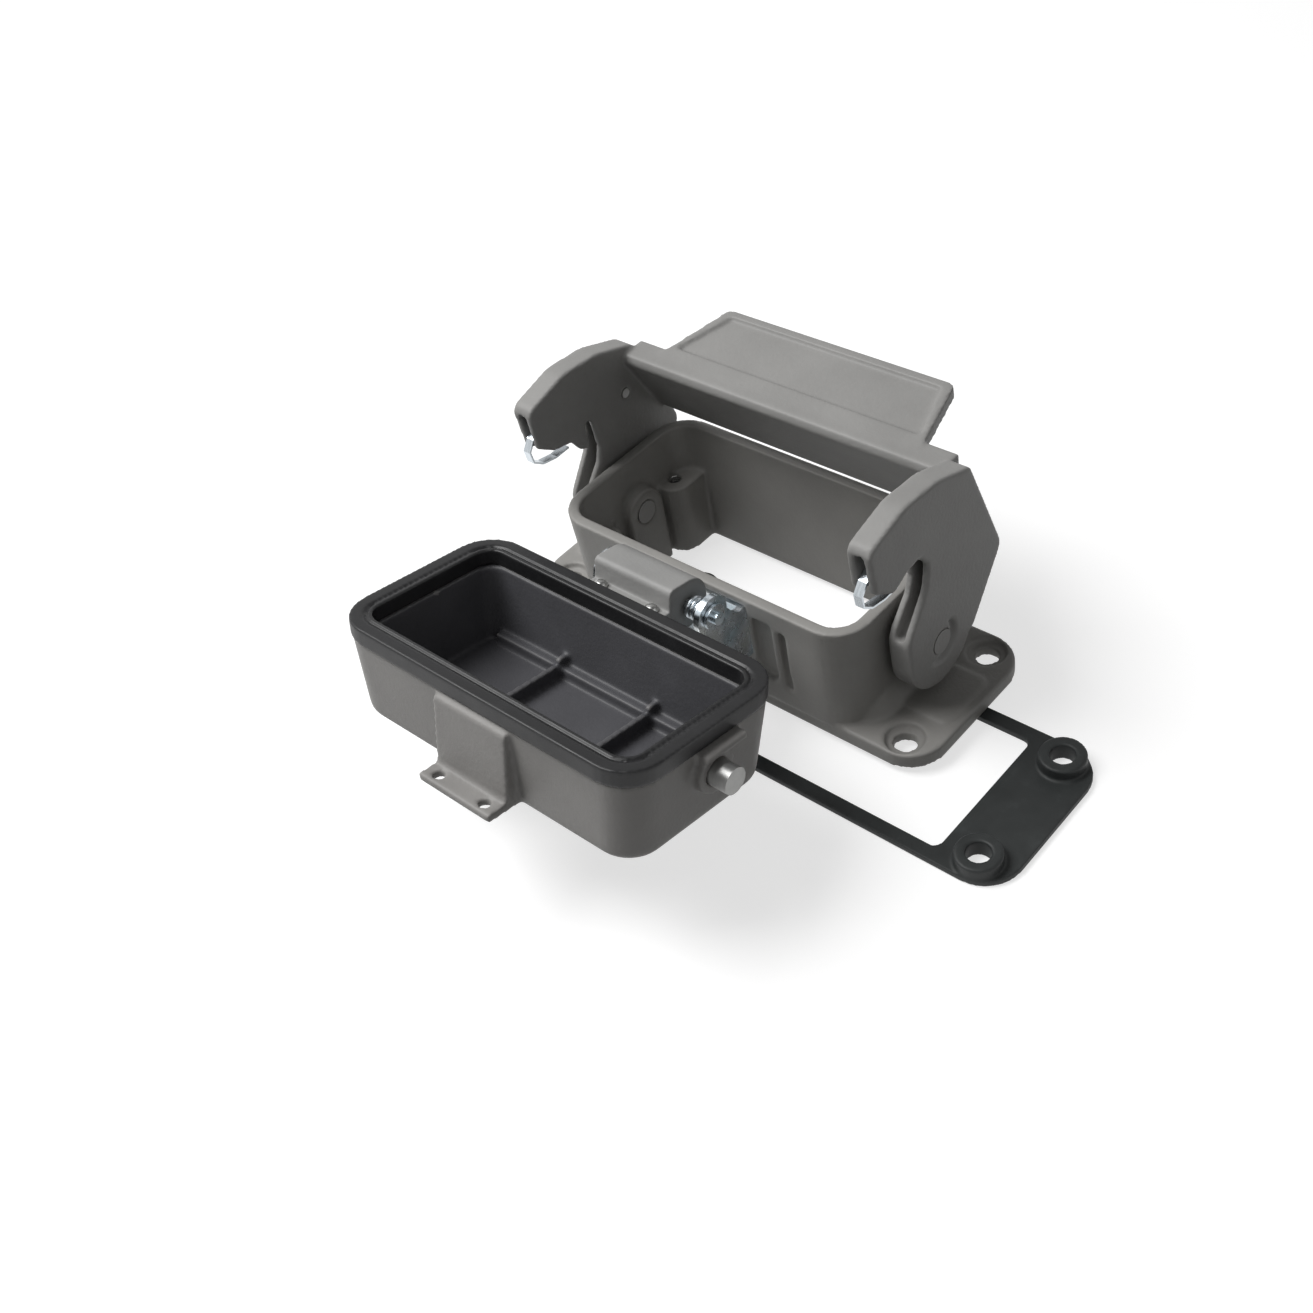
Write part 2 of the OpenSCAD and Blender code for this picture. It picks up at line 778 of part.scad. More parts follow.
function coil_point(i) =
    let (a = leg_a0 - 360 * i / coil_steps)
    [coil_x + coil_pitch * i / coil_steps, pin_y + coil_r * cos(a), pin_z + coil_r * sin(a)];
coil_path = concat(
    [[coil_x, web_y - wire_d / 2 - 0.15, web_high - 6], [coil_x, web_y - wire_d / 2 - 0.15, pin_z - 5]],
    [for (i = [0:coil_steps * coil_turns + 6]) coil_point(i)]
);

// Rings of the wire, square to its path
function path_dir(p, i) = unit(p[min(i + 1, len(p) - 1)] - p[max(i - 1, 0)]);
function wire_ring(p, i) =
    let (
        d = path_dir(p, i),
        u = [1, 0, 0],
        side = unit(cross(d, u)),
        up = cross(side, d)
    )
    [for (k = [0:coil_sides - 1]) p[i] + wire_d / 2 * (cos(360 * k / coil_sides) * side + sin(360 * k / coil_sides) * up)];

module hinge_spring() {
    n = len(coil_path);
    m = coil_sides;
    points = [for (i = [0:n - 1]) each wire_ring(coil_path, i)];
    skin = [for (i = [0:n - 2], k = [0:m - 1]) [i * m + k, i * m + (k + 1) % m, (i + 1) * m + (k + 1) % m, (i + 1) * m + k]];
    color([0.7, 0.75, 0.78])
        polyhedron(points, concat(skin, [[for (k = [m - 1:-1:0]) k], [for (k = [0:m - 1]) (n - 1) * m + k]]));
}

housing();
flange_gasket();
lever();
lever_pivot_left();
lever_pivot_right();
pivot_washer_left();
pivot_washer_right();
lever_spring_left();
lever_spring_right();
lever_spring_pin_left();
lever_spring_pin_right();
cover();
cover_seal();
cover_peg_left();
cover_peg_right();
hinge_bracket();
hinge_pin();
hinge_pin_clip();
hinge_block();
hinge_spring();
block_rivets();
bracket_rivets();
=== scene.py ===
"""Looks of a panel-mount rectangular connector housing with lever, cover and gasket."""

import json
import math

import bmesh
import bpy
from bpy.props import FloatProperty, FloatVectorProperty, PointerProperty
from mathutils import Euler, Matrix, Vector


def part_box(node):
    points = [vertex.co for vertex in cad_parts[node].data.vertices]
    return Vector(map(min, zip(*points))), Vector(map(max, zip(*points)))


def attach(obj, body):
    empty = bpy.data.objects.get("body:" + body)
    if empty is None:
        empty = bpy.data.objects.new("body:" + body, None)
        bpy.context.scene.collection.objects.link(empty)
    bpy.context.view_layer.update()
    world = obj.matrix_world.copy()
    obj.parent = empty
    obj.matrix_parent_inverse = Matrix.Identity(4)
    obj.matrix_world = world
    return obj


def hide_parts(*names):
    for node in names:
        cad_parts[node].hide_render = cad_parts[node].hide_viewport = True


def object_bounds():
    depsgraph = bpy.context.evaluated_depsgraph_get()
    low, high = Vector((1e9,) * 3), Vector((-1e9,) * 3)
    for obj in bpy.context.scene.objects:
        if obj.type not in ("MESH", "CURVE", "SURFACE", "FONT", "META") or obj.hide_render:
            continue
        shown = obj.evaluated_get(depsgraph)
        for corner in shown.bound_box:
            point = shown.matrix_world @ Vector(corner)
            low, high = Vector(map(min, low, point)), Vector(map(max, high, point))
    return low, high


bl_info = {
    "name": "Rectangular connector housing",
    "version": (1, 0, 0),
    "blender": (4, 5, 0),
    "location": "View3D > Sidebar > Connector",
    "description": "Dresses the solids of a connector housing with coats, metals and rubber",
    "category": "Object",
}

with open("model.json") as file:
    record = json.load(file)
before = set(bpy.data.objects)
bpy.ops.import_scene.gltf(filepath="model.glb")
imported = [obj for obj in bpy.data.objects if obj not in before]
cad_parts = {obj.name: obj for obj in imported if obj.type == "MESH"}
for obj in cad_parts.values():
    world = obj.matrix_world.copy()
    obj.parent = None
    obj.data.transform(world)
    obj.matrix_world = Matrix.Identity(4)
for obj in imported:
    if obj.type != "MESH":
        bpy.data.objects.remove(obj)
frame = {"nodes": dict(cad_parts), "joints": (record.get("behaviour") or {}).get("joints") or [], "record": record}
CAD_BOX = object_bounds()
MM = 0.001

NODES = frame["nodes"]
RECORD = frame["record"]
BODY_OF = {
    node: body
    for body, members in RECORD["behaviour"]["bodies"].items()
    for node in members
}
JOINT_AT = {joint["name"]: Vector(joint["pos_m"]) for joint in frame["joints"]}
SIDES = (-1, 1)
# The corners of a CAD node's loose triangles are merged within this distance
MERGE_WITHIN = 0.002 * MM

# How far the open cover hangs from level
COVER_TILT = math.radians(12)
# Hollow of the cover in its own level frame: the hinge pin is zero, and the floor of the hollow lies
# this far above the lowest point of the cover
HOLLOW_HALF_LENGTH = 38.5 * MM
HOLLOW_HALF_WIDTH = 18.1 * MM
HOLLOW_MIDDLE_Y = -32.5 * MM
HOLLOW_FLOOR = 1.5 * MM

# Mesh size and smoothing passes of what isn't cast in the coats' own grain
SEAL_GRAIN, SEAL_PASSES = 0.3 * MM, 9
GASKET_GRAIN, GASKET_PASSES = 0.34 * MM, 2
LEVER_GRAIN_SHARE, LEVER_PASSES = 0.95, 2
BLOCK_GRAIN_SHARE, BLOCK_PASSES = 0.5, 4

# Coil of the hinge spring
COIL_TURNS = 3 + 6 / 14
COIL_START = math.radians(-20)
COIL_RADIUS = 2.25 * MM
COIL_STEPS = 28
COIL_SIDES = 14
COIL_LEG = 5 * MM

# Radius of a rivet's shank, radius of its head and height of its head
RIVETS = {
    "block_rivets": (1.0 * MM, 1.6 * MM, 1.4 * MM),
    "bracket_rivets": (1.6 * MM, 2.7 * MM, 1.2 * MM),
}

# Threads in the insert holes; the first turn starts this many pitches below the mouth
THREAD_START = 0.6
THREAD_PITCH = 0.7 * MM
THREAD_RIDGE = 0.14 * MM
THREAD_TURNS = 11
THREAD_STEPS = 20
THREAD_SIDES = 6

# Studio paper: flat near the part, then curved up; (radius, rise) in metres
PAPER_PROFILE = ((0.4, 0.0), (1.4, 0.0), (1.8, 0.08), (2.1, 0.35), (2.3, 0.9), (2.35, 2.2))
PAPER_GAP = 0.1 * MM
KEY_AT, KEY_SIZE = Vector((-0.38, -0.24, 0.78)), 0.5
FILL_AT, FILL_SIZE = Vector((0.60, -0.25, 0.45)), 0.4
CAMERA_AT = (0.2008, -0.2048, 0.2641)
CAMERA_TURN = tuple(math.radians(angle) for angle in (46.227, 9.05, 41.581))
SENSOR_WIDTH = 36.0


# ---- Sizes and colours that a user may change ----

def tint(name, description, default):
    """A colour property."""
    return FloatVectorProperty(
        name=name, description=description, subtype="COLOR", size=3,
        min=0.0, max=1.0, default=default)


def length(name, description, default_mm, low_mm, high_mm):
    """A length property, in metres."""
    return FloatProperty(
        name=name, description=description, subtype="DISTANCE", unit="LENGTH",
        default=default_mm * MM, min=low_mm * MM, max=high_mm * MM)


class CoatSettings(bpy.types.PropertyGroup):
    """Powder coat of the castings."""
    housing: tint("Housing", "Coat of the housing", (0.275, 0.268, 0.255))
    lever: tint("Lever", "Coat of the lever", (0.28, 0.276, 0.268))
    cover: tint("Cover", "Coat of the cover outside", (0.262, 0.254, 0.245))
    tray: tint("Cover inside", "Coat of the cover inside", (0.075, 0.075, 0.082))
    block: tint("Hinge block", "Coat of the hinge block", (0.31, 0.308, 0.302))
    peel: length("Orange peel", "Width of the ripples in the coat", 0.9, 0.2, 3.0)
    grain: length("Cast edge", "Mesh size of the castings, which sets how round their edges are",
                  0.52, 0.5, 1.0)


class MetalSettings(bpy.types.PropertyGroup):
    """Bare and plated metals."""
    zinc: tint("Zinc plate", "Zinc plate of the bracket", (0.78, 0.83, 0.88))
    steel: tint("Steel", "Turned steel of pins and pegs", (0.52, 0.52, 0.51))
    wire: tint("Spring wire", "Spring wire and strip", (0.66, 0.71, 0.75))
    spring_wire: length("Wire of the hinge spring", "Diameter of the hinge spring's wire",
                        1.0, 0.6, 1.1)


class RubberSettings(bpy.types.PropertyGroup):
    """Rubber of the seal and the gasket."""
    seal: tint("Seal", "Rubber of the cover seal", (0.012, 0.012, 0.013))
    gasket: tint("Gasket", "Rubber of the flange gasket", (0.022, 0.025, 0.025))


class StageSettings(bpy.types.PropertyGroup):
    """Floor, light and camera."""
    floor: tint("Floor", "Colour of the floor", (0.93, 0.93, 0.93))
    key: FloatProperty(
        name="Key light", description="Power of the large soft light above",
        unit="POWER", default=8.4, min=0.0, max=50.0)
    fill: FloatProperty(
        name="Fill light", description="Power of the light from the side",
        unit="POWER", default=0.15, min=0.0, max=50.0)
    air: FloatProperty(
        name="Ambient light", description="Strength of the even light all round",
        default=0.14, min=0.0, max=3.0)
    lens: FloatProperty(
        name="Lens", description="Focal length on a 36 mm wide sensor",
        subtype="DISTANCE_CAMERA", default=43.87, min=20.0, max=120.0)


# ---- Shader helpers ----

class Shader:
    """A node material with one Principled surface."""

    def __init__(self, name):
        self.material = bpy.data.materials.new(name)
        self.material.use_nodes = True
        tree = self.material.node_tree
        self.nodes = tree.nodes
        self.links = tree.links
        self.surface = self.nodes["Principled BSDF"]
        self.place = self.nodes.new("ShaderNodeTexCoord").outputs["Object"]

    def constant(self, **values):
        """Sets sockets of the surface that are the same all over."""
        for socket, value in values.items():
            self.surface.inputs[socket.replace("_", " ")].default_value = value

    def noise(self, scale, detail=3.0, roughness=0.5, stretch=None):
        """Noise in object space, `scale` features a metre."""
        where = self.place
        if stretch:
            mapping = self.nodes.new("ShaderNodeMapping")
            mapping.inputs["Scale"].default_value = stretch
            self.links.new(where, mapping.inputs["Vector"])
            where = mapping.outputs["Vector"]
        node = self.nodes.new("ShaderNodeTexNoise")
        node.inputs["Scale"].default_value = scale
        node.inputs["Detail"].default_value = detail
        node.inputs["Roughness"].default_value = roughness
        self.links.new(where, node.inputs["Vector"])
        return node.outputs["Fac"]

    def ramp(self, value, stops):
        """Colour ramp through (position, colour) stops."""
        node = self.nodes.new("ShaderNodeValToRGB")
        elements = node.color_ramp.elements
        while len(elements) < len(stops):
            elements.new(0.5)
        for element, (position, colour) in zip(elements, stops):
            element.position = position
            element.color = (*colour, 1.0)
        self.links.new(value, node.inputs["Fac"])
        return node.outputs["Color"]

    def span(self, value, low, high, from_low=0.3, from_high=0.7):
        """Maps a value on to low..high."""
        node = self.nodes.new("ShaderNodeMapRange")
        node.inputs["From Min"].default_value = from_low
        node.inputs["From Max"].default_value = from_high
        node.inputs["To Min"].default_value = low
        node.inputs["To Max"].default_value = high
        self.links.new(value, node.inputs["Value"])
        return node.outputs["Result"]

    def bump(self, height, distance, strength=1.0, under=None):
        """Bump of a height field, over an earlier bump."""
        node = self.nodes.new("ShaderNodeBump")
        node.inputs["Distance"].default_value = distance
        node.inputs["Strength"].default_value = strength
        self.links.new(height, node.inputs["Height"])
        if under:
            self.links.new(under, node.inputs["Normal"])
        return node.outputs["Normal"]

    def relief(self):
        """Height of a point over what surrounds it: edges above a half, corners below."""
        return self.nodes.new("ShaderNodeNewGeometry").outputs["Pointiness"]

    def attribute(self, name):
        """A number stored in the mesh."""
        node = self.nodes.new("ShaderNodeAttribute")
        node.attribute_name = name
        return node.outputs["Fac"]

    def blend(self, factor, first, second):
        """Goes from a colour output to another one, or to a plain colour."""
        node = self.nodes.new("ShaderNodeMix")
        node.data_type = "RGBA"
        self.links.new(factor, node.inputs["Factor"])
        from_colour, to_colour = [socket for socket in node.inputs if socket.type == "RGBA"]
        self.links.new(first, from_colour)
        if isinstance(second, tuple):
            to_colour.default_value = (*second, 1.0)
        else:
            self.links.new(second, to_colour)
        return next(socket for socket in node.outputs if socket.type == "RGBA")

    def wire(self, output, socket):
        """Links an output to a socket of the surface."""
        self.links.new(output, self.surface.inputs[socket])


def shade(colour, factor):
    """A colour made lighter or darker."""
    return tuple(min(1.0, c * factor) for c in colour)


def powder_coat(name, colour, peel, roughness=0.52, inside=None):
    """Baked powder coat: fine ripples, faint clouds, painted highlights on edges and painted shade in corners.

    With an `inside` colour the coat changes to it where the piece's "tray" attribute is 1.
    """
    s = Shader(name)
    clouds = s.noise(55.0, 4.0, 0.6)
    body = s.ramp(clouds, [
        (0.3, shade(colour, 0.92)), (0.52, colour), (0.75, shade(colour, 1.08))])
    if inside:
        tray = s.ramp(clouds, [
            (0.3, shade(inside, 0.85)), (0.55, inside), (0.8, shade(inside, 1.25))])
        body = s.blend(s.attribute("tray"), body, tray)
    edges = s.relief()
    # Painted highlight: edges where the pointiness is high are made lighter, standing in for light caught on
    # rounded edges
    body = s.blend(s.span(edges, 0.0, 0.5, 0.53, 0.60), body, shade(colour, 1.45))
    # Painted shade: corners and creases where the pointiness is low are made darker, standing in for shade in
    # hollows
    body = s.blend(s.span(edges, 0.55, 0.0, 0.42, 0.49), body, shade(inside or colour, 0.5))
    s.wire(body, "Base Color")
    ripples = s.noise(1.0 / peel, 2.0, 0.5)
    grit = s.noise(6.0 / peel, 2.0, 0.6)
    s.wire(s.span(grit, roughness - 0.06, roughness + 0.08), "Roughness")
    s.wire(s.bump(grit, 0.00004, 0.55, s.bump(ripples, 0.00012, 0.6)), "Normal")
    s.constant(Specular_IOR_Level=0.4)
    return s.material


def zinc_plate(name, colour):
    """Bright zinc with a bluish and a straw tone."""
    s = Shader(name)
    red, green, blue = shade(colour, 0.82)
    cool = (red * 0.86, green * 0.97, blue)
    straw = (colour[0], colour[1] * 0.98, colour[2] * 0.9)
    tones = s.ramp(s.noise(120.0, 2.0, 0.5), [(0.3, cool), (0.5, colour), (0.72, straw)])
    s.wire(tones, "Base Color")
    s.wire(s.span(s.noise(300.0, 3.0, 0.5), 0.2, 0.32), "Roughness")
    s.wire(s.bump(s.noise(260.0, 2.0, 0.5), 0.00002, 0.3), "Normal")
    s.constant(Metallic=1.0)
    return s.material


def turned_steel(name, colour, rough=0.36):
    """Steel with fine turning marks across its axis."""
    s = Shader(name)
    marks = s.noise(300.0, 3.0, 0.7, (14.0, 1.0, 1.0))
    tones = s.ramp(marks, [(0.25, shade(colour, 0.8)), (0.6, colour), (0.8, shade(colour, 1.12))])
    s.wire(tones, "Base Color")
    s.wire(s.span(marks, rough - 0.08, rough + 0.1), "Roughness")
    s.wire(s.bump(marks, 0.00002, 0.5), "Normal")
    s.constant(Metallic=1.0)
    return s.material


def rubber(name, colour, roughness):
    """Moulded rubber with a dusty bloom."""
    s = Shader(name)
    bloom = s.noise(160.0, 5.0, 0.65)
    tones = s.ramp(bloom, [(0.3, shade(colour, 0.8)), (0.55, colour), (0.8, shade(colour, 1.6))])
    s.wire(tones, "Base Color")
    s.wire(s.span(bloom, roughness - 0.07, roughness + 0.07), "Roughness")
    s.wire(s.bump(s.noise(1800.0, 2.0, 0.5), 0.00003, 0.5), "Normal")
    s.constant(Specular_IOR_Level=0.4)
    return s.material


# ---- Geometry node groups ----

class Flow:
    """A geometry node group that is run as a modifier."""

    def __init__(self, name, **inputs):
        self.group = bpy.data.node_groups.new(name, "GeometryNodeTree")
        for label, kind in {"Geometry": "Geometry", **inputs}.items():
            self.group.interface.new_socket(label, in_out="INPUT", socket_type="NodeSocket" + kind)
        self.group.interface.new_socket("Geometry", in_out="OUTPUT", socket_type="NodeSocketGeometry")
        self.inputs = self.group.nodes.new("NodeGroupInput").outputs

    def add(self, kind, links=None, **values):
        """Adds a node, links some of its inputs and sets others."""
        node = self.group.nodes.new(kind)
        for socket, output in (links or {}).items():
            self.group.links.new(output, node.inputs[socket])
        for socket, value in values.items():
            node.inputs[socket.replace("_", " ")].default_value = value
        return node

    def close(self, geometry):
        """Realizes the instances, sets the material and ends the group."""
        real = self.add("GeometryNodeRealizeInstances", {"Geometry": geometry})
        done = self.add("GeometryNodeSetMaterial", {
            "Geometry": real.outputs[0], "Material": self.inputs["Material"]})
        self.add("NodeGroupOutput", {"Geometry": done.outputs[0]})
        return self.group


def sweep_group():
    """Draws a round wire along the edges of a mesh."""
    flow = Flow("wire_on_path", Radius="Float", Sides="Int", Material="Material")
    path = flow.add("GeometryNodeMeshToCurve", {"Mesh": flow.inputs["Geometry"]})
    ring = flow.add("GeometryNodeCurvePrimitiveCircle", {
        "Radius": flow.inputs["Radius"], "Resolution": flow.inputs["Sides"]})
    wire = flow.add("GeometryNodeCurveToMesh", {
        "Curve": path.outputs[0], "Profile Curve": ring.outputs["Curve"]}, Fill_Caps=True)
    return flow.close(wire.outputs[0])


def repeat_group():
    """Sets a copy of an object on every vertex, turned to the vertex's "axis"."""
    flow = Flow("copy_on_points", Object="Object", Material="Material")
    copy = flow.add("GeometryNodeObjectInfo", {"Object": flow.inputs["Object"]})
    axis = flow.add("GeometryNodeInputNamedAttribute", Name="axis")
    axis.data_type = "FLOAT_VECTOR"
    turn = flow.add("FunctionNodeAlignRotationToVector", {"Vector": axis.outputs["Attribute"]})
    turn.axis = "Z"
    placed = flow.add("GeometryNodeInstanceOnPoints", {
        "Points": flow.inputs["Geometry"], "Instance": copy.outputs["Geometry"],
        "Rotation": turn.outputs["Rotation"]})
    return flow.close(placed.outputs[0])


def run_group(piece, group, **inputs):
    """Runs a group on a piece and keeps the mesh it makes."""
    run = piece.modifiers.new("run", "NODES")
    run.node_group = group
    for item in group.interface.items_tree:
        if item.in_out == "INPUT" and item.name in inputs:
            run[item.identifier] = inputs[item.name]
    return plain_mesh(piece)


def wire_piece(name, points, radius, sides, material):
    """A round wire through a list of points."""
    mesh = bpy.data.meshes.new(name)
    mesh.from_pydata(points, [(i, i + 1) for i in range(len(points) - 1)], [])
    piece = new_piece(name, mesh)
    run_group(piece, sweep_group(), Radius=radius, Sides=sides, Material=material)
    piece.data.shade_smooth()
    return piece


def repeated_piece(name, model, places, material):
    """Copies of a model object at (point, axis) places, as one mesh; the model is used up."""
    mesh = bpy.data.meshes.new(name)
    mesh.from_pydata([point for point, _ in places], [], [])
    axes = mesh.attributes.new("axis", "FLOAT_VECTOR", "POINT")
    for slot, (_, axis) in zip(axes.data, places):
        slot.vector = axis
    piece = new_piece(name, mesh)
    run_group(piece, repeat_group(), Object=model, Material=material)
    bpy.data.objects.remove(model)
    piece.data.shade_smooth()
    piece.data.set_sharp_from_angle(angle=math.radians(50.0))
    return piece


# ---- Mesh helpers ----

def turned_rings(profile, steps):
    """Points of rings about Z, one ring for each (radius, height) pair of a profile."""
    points = []
    for radius, height in profile:
        for step in range(steps):
            angle = 2 * math.pi * step / steps
            points.append((radius * math.cos(angle), radius * math.sin(angle), height))
    return points


def turned_piece(name, profile, steps=32):
    """A solid of revolution about Z through (radius, height) points, closed at both ends."""
    rings = profile[1:-1]
    ends = [(0.0, 0.0, profile[0][1]), (0.0, 0.0, profile[-1][1])]
    points = ends + turned_rings(rings, steps)
    faces = []
    for step in range(steps):
        after = (step + 1) % steps
        faces.append((0, 2 + after, 2 + step))
        for ring in range(len(rings) - 1):
            low, high = 2 + ring * steps, 2 + (ring + 1) * steps
            faces.append((low + step, low + after, high + after, high + step))
        top = 2 + (len(rings) - 1) * steps
        faces.append((1, top + step, top + after))
    mesh = bpy.data.meshes.new(name)
    mesh.from_pydata(points, [], faces)
    return new_piece(name, mesh)


def paint(piece, material):
    """Gives a piece its material in place of what it has."""
    piece.data.materials.clear()
    piece.data.materials.append(material)


def dress_node(node, material):
    """Keeps a CAD node and gives it a finish."""
    paint(NODES[node], material)


def new_piece(name, mesh):
    """Links a mesh as an object at the origin."""
    piece = bpy.data.objects.new(name, mesh)
    bpy.context.scene.collection.objects.link(piece)
    return piece


def settle(piece, node):
    """Puts a finished piece in the place of a CAD node."""
    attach(piece, BODY_OF[node])
    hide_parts(node)


def plain_mesh(piece):
    """Turns a piece's modifiers into mesh and removes them."""
    graph = bpy.context.evaluated_depsgraph_get()
    mesh = bpy.data.meshes.new_from_object(piece.evaluated_get(graph), depsgraph=graph)
    piece.modifiers.clear()
    old = piece.data
    piece.data = mesh
    bpy.data.meshes.remove(old)
    return piece


def eased_copy(node, name, grain, passes=3):
    """A copy of a CAD node with every edge eased, as casting and coating leave it.

    `grain` is the mesh size in metres and sets how far the edges are eased.
    """
    bm = bmesh.new()
    bm.from_mesh(NODES[node].data)
    bmesh.ops.remove_doubles(bm, verts=bm.verts, dist=MERGE_WITHIN)
    mesh = bpy.data.meshes.new(name)
    bm.to_mesh(mesh)
    bm.free()
    piece = new_piece(name, mesh)
    grid = piece.modifiers.new("grid", "REMESH")
    grid.mode = "VOXEL"
    grid.voxel_size = grain
    grid.use_smooth_shade = True
    ease = piece.modifiers.new("ease", "SMOOTH")
    ease.factor = 0.5
    ease.iterations = passes
    return plain_mesh(piece)


def rivet_places(node, level):
    """(foot, axis) of a node's two rivets, and how long they are; `level` turns them upright."""
    points = [level @ vertex.co for vertex in NODES[node].data.vertices]
    middle = (min(p.x for p in points) + max(p.x for p in points)) / 2
    back = level.inverted()
    axis = back.to_3x3() @ Vector((0.0, 0.0, 1.0))
    places = []
    for side in SIDES:
        rivet = [p for p in points if (p.x - middle) * side > 0]
        low, high = min(p.z for p in rivet), max(p.z for p in rivet)
        foot = Vector(((min(p.x for p in rivet) + max(p.x for p in rivet)) / 2,
                       (min(p.y for p in rivet) + max(p.y for p in rivet)) / 2, low))
        places.append((back @ foot, axis))
    return places, high - low


def rivet_profile(shank, head, head_height, height):
    """Outline of a rivet with a domed head, from the foot of its shank."""
    seat = height - head_height
    dome = ((0.96, 0.0), (1.0, 0.15), (0.97, 0.35), (0.84, 0.66), (0.6, 0.88), (0.3, 0.98))
    foot = [(0.0, 0.0), (shank * 0.85, 0.0), (shank, shank * 0.15), (shank, seat)]
    return foot + [(head * out, seat + head_height * up) for out, up in dome] + [(0.0, height)]


def mark_tray(piece):
    """Marks the hollow of the cover in the attribute "tray"."""
    level = Matrix.Rotation(COVER_TILT, 4, "X") @ Matrix.Translation(-JOINT_AT["cover_swing"])
    places = [level @ vertex.co for vertex in piece.data.vertices]
    low = min(place.z for place in places)
    tray = piece.data.attributes.new("tray", "FLOAT", "POINT")
    for vertex, place in zip(tray.data, places):
        inside = (abs(place.x) < HOLLOW_HALF_LENGTH
                  and abs(place.y - HOLLOW_MIDDLE_Y) < HOLLOW_HALF_WIDTH
                  and place.z > low + HOLLOW_FLOOR)
        vertex.value = 1.0 if inside else 0.0


# ---- Stage helpers ----

def make_floor(height, colour):
    """A wide pale sheet of studio paper that curves up far behind the part on every side."""
    steps = 64
    rings = turned_rings([(radius, height + rise) for radius, rise in PAPER_PROFILE], steps)
    faces = []
    for step in range(steps):
        after = (step + 1) % steps
        faces.append((0, 1 + step, 1 + after))
        for ring in range(len(PAPER_PROFILE) - 1):
            inner, outer = 1 + ring * steps, 1 + (ring + 1) * steps
            faces.append((inner + step, outer + step, outer + after, inner + after))
    mesh = bpy.data.meshes.new("floor")
    mesh.from_pydata([(0.0, 0.0, height), *rings], [], faces)
    mesh.shade_smooth()
    floor = new_piece("floor", mesh)
    s = Shader("floor_paper")
    s.constant(Base_Color=(*shade(colour, 0.5), 1.0), Roughness=0.9, Specular_IOR_Level=0.1,
               Emission_Color=(*colour, 1.0), Emission_Strength=0.72)
    paint(floor, s.material)
    floor.visible_diffuse = False
    floor.visible_shadow = False


def make_air(strength):
    """Even white light from all round."""
    world = bpy.data.worlds.new("studio_air")
    world.use_nodes = True
    background = world.node_tree.nodes["Background"]
    background.inputs["Color"].default_value = (1.0, 1.0, 1.0, 1.0)
    background.inputs["Strength"].default_value = strength
    bpy.context.scene.world = world


def soft_light(name, place, size, power):
    """A large square light that looks at the part."""
    data = bpy.data.lights.new(name, "AREA")
    data.size = size
    data.energy = power
    light = bpy.data.objects.new(name, data)
    light.location = place
    light.rotation_euler = (-place).to_track_quat("-Z", "Y").to_euler()
    bpy.context.scene.collection.objects.link(light)


def make_camera(lens):
    """The camera, in front of the part, to its right and above it."""
    data = bpy.data.cameras.new("camera")
    data.sensor_width = SENSOR_WIDTH
    data.lens = lens
    data.clip_start = 0.01
    data.clip_end = 20.0
    camera = bpy.data.objects.new("camera", data)
    camera.location = CAMERA_AT
    camera.rotation_euler = Euler(CAMERA_TURN, "XYZ")
    bpy.context.scene.collection.objects.link(camera)
    bpy.context.scene.camera = camera


# ---- Operators ----

class CONNECTOR_OT_housing(bpy.types.Operator):
    """Coats the housing"""
    bl_idname = "connector.housing"
    bl_label = "Housing"

    def execute(self, context):
        coats = context.scene.connector_coats
        piece = eased_copy("housing", "housing_casting", coats.grain)
        paint(piece, powder_coat("housing_coat", coats.housing, coats.peel))
        settle(piece, "housing")
        return {"FINISHED"}


class CONNECTOR_OT_lever(bpy.types.Operator):
    """Coats the lever"""
    bl_idname = "connector.lever"
    bl_label = "Lever"

    def execute(self, context):
        coats = context.scene.connector_coats
        piece = eased_copy("lever", "lever_casting", coats.grain * LEVER_GRAIN_SHARE, LEVER_PASSES)
        paint(piece, powder_coat("lever_coat", coats.lever, coats.peel))
        settle(piece, "lever")
        return {"FINISHED"}


class CONNECTOR_OT_cover(bpy.types.Operator):
    """Coats the cover"""
    bl_idname = "connector.cover"
    bl_label = "Cover"

    def execute(self, context):
        coats = context.scene.connector_coats
        piece = eased_copy("cover", "cover_casting", coats.grain)
        mark_tray(piece)
        paint(piece, powder_coat("cover_coat", coats.cover, coats.peel, 0.5, coats.tray))
        settle(piece, "cover")
        return {"FINISHED"}


class CONNECTOR_OT_rubbers(bpy.types.Operator):
    """Makes the cover seal and the flange gasket"""
    bl_idname = "connector.rubbers"
    bl_label = "Seal and gasket"

    def execute(self, context):
        rubbers = context.scene.connector_rubbers
        seal = eased_copy("cover_seal", "cover_seal_ring", SEAL_GRAIN, SEAL_PASSES)
        paint(seal, rubber("seal_rubber", rubbers.seal, 0.42))
        settle(seal, "cover_seal")
        gasket = eased_copy("flange_gasket", "flange_gasket_sheet", GASKET_GRAIN, GASKET_PASSES)
        paint(gasket, rubber("gasket_rubber", rubbers.gasket, 0.55))
        settle(gasket, "flange_gasket")
        return {"FINISHED"}


